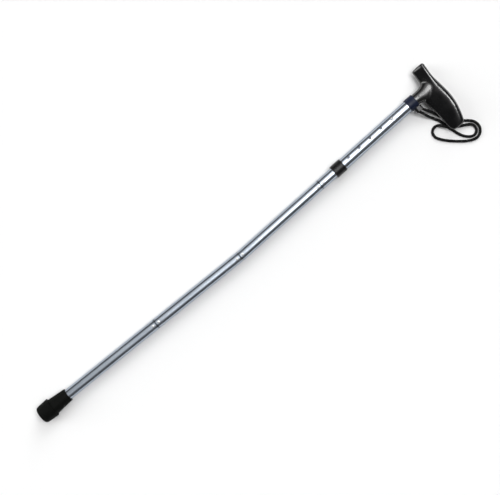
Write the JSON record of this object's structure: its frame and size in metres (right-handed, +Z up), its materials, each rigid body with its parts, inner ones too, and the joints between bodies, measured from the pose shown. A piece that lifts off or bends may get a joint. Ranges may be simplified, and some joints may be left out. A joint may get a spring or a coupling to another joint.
{
  "type": "folding walking cane",
  "caption": "Folding walking cane of jointed aluminium tubes on an elastic cord, with a push-button height adjuster, lock collar, T-shaped handle, wrist strap and rubber tip.",
  "frame": {"origin": "centre of the rubber tip's tread, with the cane lying flat", "axes": "+X up the two lower sections from the tip, +Y to the side that the handle's nose points to, +Z up off the surface that the cane lies on"},
  "size_m": [0.922, 0.1654, 0.0354],
  "materials": {
    "tube": "polished",
    "steel": "bright",
    "nylon": "moulded nylon",
    "elastic": "braided cover on rubber",
    "tip_rubber": "moulded",
    "collar_plastic": "moulded",
    "ring_plastic": "satin",
    "handle_plastic": "glossy",
    "strap_cord": "braided"
  },
  "bodies": {
    "grip_section": {"upper_tube": "tube", "clamp_ring": "nylon", "handle_ring": "ring_plastic", "handle": "handle_plastic", "handle_rivet": "steel", "strap_clasp": "collar_plastic", "wrist_strap": "strap_cord"},
    "lock_ring": {"lock_collar": "collar_plastic"},
    "post_section": {"post_tube": "tube", "post_socket": "nylon", "post_socket_rivet": "steel", "post_anchor": "nylon", "post_cord": "elastic"},
    "push_button": {"snap_button": "steel"},
    "middle_section": {"middle_tube": "tube", "middle_socket": "nylon", "middle_socket_rivet": "steel", "middle_cord": "elastic", "middle_ferrule": "nylon", "middle_ferrule_rivet": "steel"},
    "lower_section": {"lower_tube": "tube", "lower_socket": "nylon", "lower_socket_rivet": "steel", "lower_cord": "elastic", "lower_ferrule": "nylon", "lower_ferrule_rivet": "steel"},
    "tip_section": {"rubber_tip": "tip_rubber", "tip_disc": "steel", "tip_tube": "tube", "tip_anchor": "nylon", "tip_cord": "elastic", "tip_ferrule": "nylon", "tip_ferrule_rivet": "steel"}
  },
  "joints": [
    {"name": "height_slide", "type": "slide", "parent": "grip_section", "child": "post_section", "axis": [-0.9986, -0.0523, 0], "range_m": [0, 0.1016], "deforming": ["snap_button"]},
    {"name": "button_press", "type": "slide", "parent": "post_section", "child": "push_button", "axis": [0.0135, -0.2585, -0.9659], "range_m": [0, 0.004], "stiffness_N_per_m": 300, "springref_m": -0.002, "deforming": ["snap_button"]},
    {"name": "collar_twist", "type": "hinge", "parent": "grip_section", "child": "lock_ring", "pos_m": [0.67769, 0.01185, 0], "axis": [0.9986, 0.0523, 0], "range_deg": [0, 90]},
    {"name": "upper_fold", "type": "hinge", "parent": "post_section", "child": "middle_section", "pos_m": [0.63667, 0.02258, 0.01532], "axis": [-0.0401, 0.765, -0.6428], "range_deg": [0, 180], "stiffness_Nm_per_rad": 0.3, "springref_deg": -114.59},
    {"name": "middle_fold", "type": "hinge", "parent": "middle_section", "child": "lower_section", "pos_m": [0.4496, -0.00616, 0.01691], "axis": [0, 0.9397, 0.342], "range_deg": [0, 180], "stiffness_Nm_per_rad": 0.3, "springref_deg": -114.59},
    {"name": "lower_fold", "type": "hinge", "parent": "lower_section", "child": "tip_section", "pos_m": [0.2616, -0.015, 0], "axis": [0, 0, 1], "range_deg": [0, 180], "stiffness_Nm_per_rad": 0.3, "springref_deg": -114.59}
  ]
}
